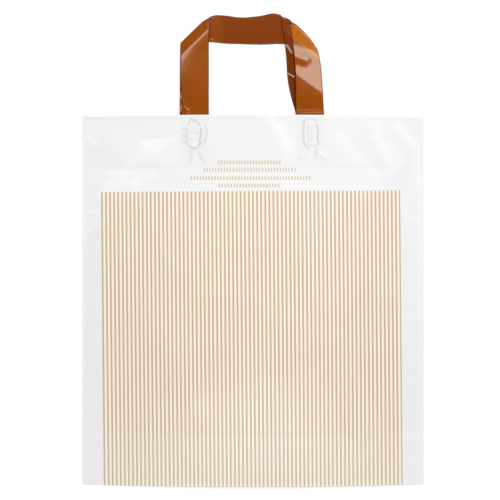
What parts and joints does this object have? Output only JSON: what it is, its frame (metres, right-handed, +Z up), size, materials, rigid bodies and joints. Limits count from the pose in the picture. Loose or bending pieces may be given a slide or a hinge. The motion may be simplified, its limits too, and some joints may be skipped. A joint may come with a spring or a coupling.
{
  "type": "plastic carrier bag",
  "caption": "Flat film carrier bag with soft ribbon loop handles, a turned-in mouth hem, a pleated bottom and a striped print.",
  "frame": {"origin": "bottom centre of the bounding box, on the surface that the bag lies on", "axes": "+X across the bag, +Y along it from the bottom fold to the handles, +Z up out of the front panel"},
  "size_m": [0.35, 0.484, 0.0142],
  "materials": {
    "milky_film": "gloss",
    "brown_ribbon": "gloss"
  },
  "bodies": {
    "root": {"bag_body": "milky_film", "front_handle": "brown_ribbon", "back_handle": "brown_ribbon"}
  },
  "joints": []
}
